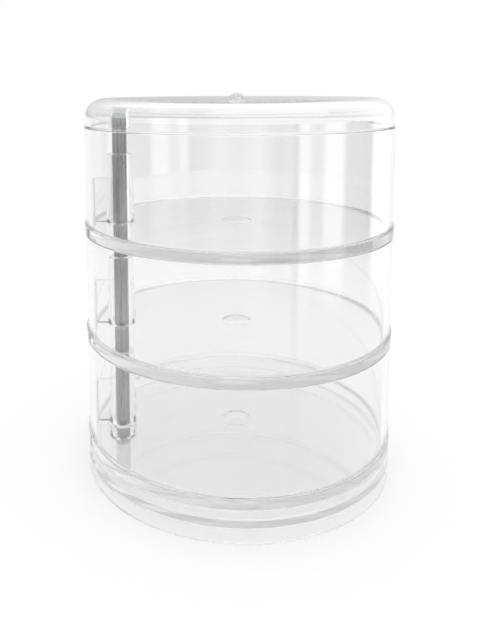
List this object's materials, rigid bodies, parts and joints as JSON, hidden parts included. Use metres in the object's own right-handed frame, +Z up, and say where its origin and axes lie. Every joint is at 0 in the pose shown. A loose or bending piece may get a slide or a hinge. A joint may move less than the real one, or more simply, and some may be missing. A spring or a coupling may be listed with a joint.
{
  "type": "rotating jewelry box",
  "caption": "Clear round jewelry box whose stacked trays and lid swing out sideways on one metal post near the edge of a shallow base.",
  "frame": {"origin": "on the table, under the middle of the stack's round outline", "axes": "+Z up along the stack's axis, -Y towards the front, +X to the right; the post stands at the left"},
  "size_m": [0.105, 0.105, 0.1281],
  "materials": {
    "clear_plastic": "clear injection-moulded polystyrene, polished",
    "rod_metal": "drawn bar, satin",
    "fastener_steel": "zinc plated",
    "cap_plastic": "moulded, satin"
  },
  "bodies": {
    "base": {"base": "clear_plastic", "pivot_rod": "rod_metal", "rod_screw": "fastener_steel", "rod_washer": "fastener_steel", "rod_cap": "cap_plastic"},
    "lower_tray": {"lower_tray": "clear_plastic"},
    "middle_tray": {"middle_tray": "clear_plastic"},
    "upper_tray": {"upper_tray": "clear_plastic"},
    "lid": {"lid": "clear_plastic"}
  },
  "joints": [
    {"name": "lower_tray_swing", "type": "hinge", "parent": "base", "child": "lower_tray", "pos_m": [-0.0405, -0.00283, 0.0107], "axis": [0, 0, 1], "continuous": true},
    {"name": "middle_tray_swing", "type": "hinge", "parent": "base", "child": "middle_tray", "pos_m": [-0.0405, -0.00283, 0.0107], "axis": [0, 0, 1], "continuous": true},
    {"name": "upper_tray_swing", "type": "hinge", "parent": "base", "child": "upper_tray", "pos_m": [-0.0405, -0.00283, 0.0107], "axis": [0, 0, 1], "continuous": true},
    {"name": "lid_swing", "type": "hinge", "parent": "base", "child": "lid", "pos_m": [-0.0405, -0.00283, 0.0107], "axis": [0, 0, 1], "continuous": true}
  ]
}
